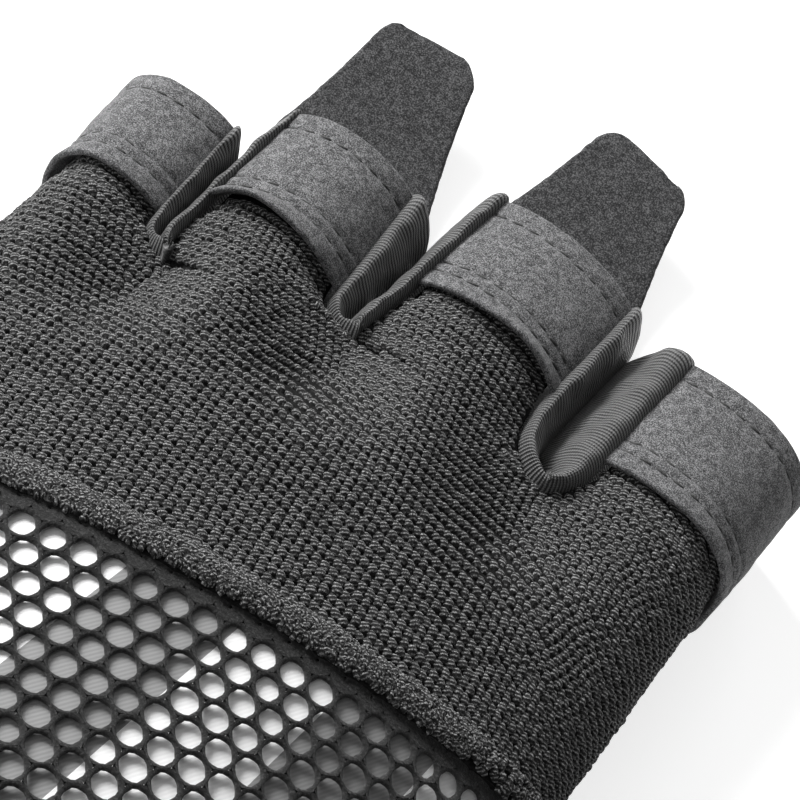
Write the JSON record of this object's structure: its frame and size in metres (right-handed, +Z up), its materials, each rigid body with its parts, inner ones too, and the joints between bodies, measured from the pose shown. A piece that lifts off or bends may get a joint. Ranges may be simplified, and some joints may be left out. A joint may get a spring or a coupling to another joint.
{
  "type": "weightlifting glove",
  "caption": "Left-hand fingerless weightlifting glove with knit knuckles, suede finger bands, stretch gussets, net back over a striped lining, pull tabs and a plain cuff.",
  "frame": {"origin": "middle of the footprint, on the surface that the palm lies on", "axes": "+Y from the wrist to the fingertips, +Z up out of the back of the hand, +X towards the index finger and thumb"},
  "size_m": [0.1304, 0.1852, 0.0426],
  "materials": {
    "knit": "coarse ribbed knit of dark grey yarn, matt",
    "band_suede": "mid grey synthetic suede with a short nap",
    "stretch": "finely ribbed black stretch fabric with a low sheen",
    "palm_suede": "dark grey thick synthetic suede, grainy, matt",
    "net": "dark grey brushed open net",
    "lining": "white and grey striped woven twill lining",
    "cuff": "black ribbed elastic, matt"
  },
  "bodies": {
    "root": {"knuckle_panel": "knit", "little_band": "band_suede", "ring_band": "band_suede", "middle_band": "band_suede", "index_band": "band_suede", "gusset_little_ring": "stretch", "gusset_ring_middle": "stretch", "gusset_middle_index": "stretch", "palm_panel": "palm_suede", "back_net": "net", "back_lining": "lining", "ring_pull_tab": "palm_suede", "middle_pull_tab": "palm_suede", "thumb_sleeve": "palm_suede", "thumb_band": "band_suede", "wrist_cuff": "cuff"}
  },
  "joints": []
}
